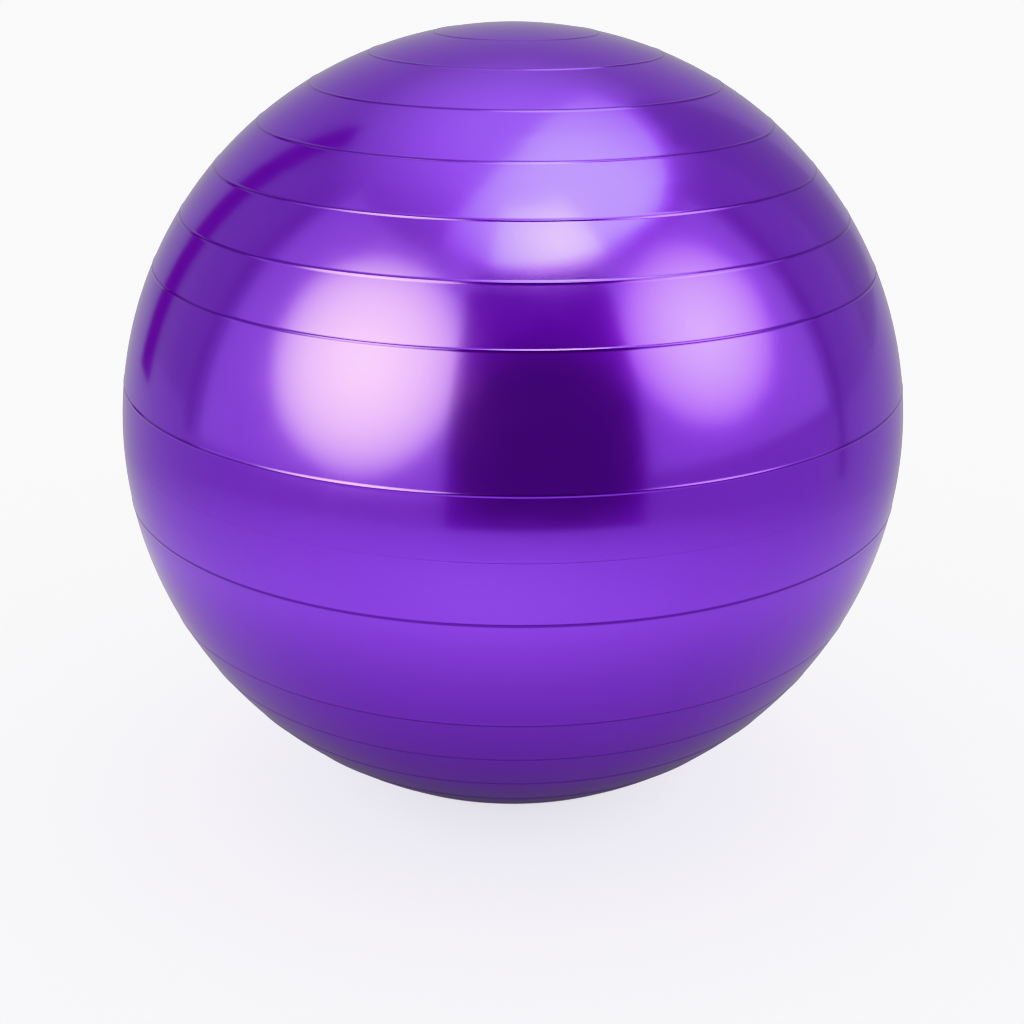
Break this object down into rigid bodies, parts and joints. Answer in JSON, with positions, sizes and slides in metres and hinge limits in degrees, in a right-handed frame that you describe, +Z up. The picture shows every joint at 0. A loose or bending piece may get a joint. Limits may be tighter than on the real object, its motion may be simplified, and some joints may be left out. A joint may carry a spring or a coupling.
{
  "type": "exercise ball",
  "caption": "Inflated round exercise ball with raised grip ridges around it, a flat where it rests, and a push-in plug in its air valve.",
  "frame": {"origin": "centre of the flat on which the ball rests on the floor", "axes": "+Z up through the poles of the ridge pattern; +Y towards the side that holds the air valve; -Y is the side seen first"},
  "size_m": [0.6504, 0.6504, 0.649],
  "materials": {
    "pearl_vinyl": "satin",
    "seat_vinyl": "satin",
    "plug_plastic": "satin"
  },
  "bodies": {
    "ball": {"ball_skin": "pearl_vinyl", "valve_seat": "seat_vinyl"},
    "plug": {"valve_plug": "plug_plastic"}
  },
  "joints": [
    {"name": "plug_pull", "type": "slide", "parent": "ball", "child": "plug", "axis": [0, 0.9563, 0.2924], "range_m": [0, 0.034]}
  ]
}
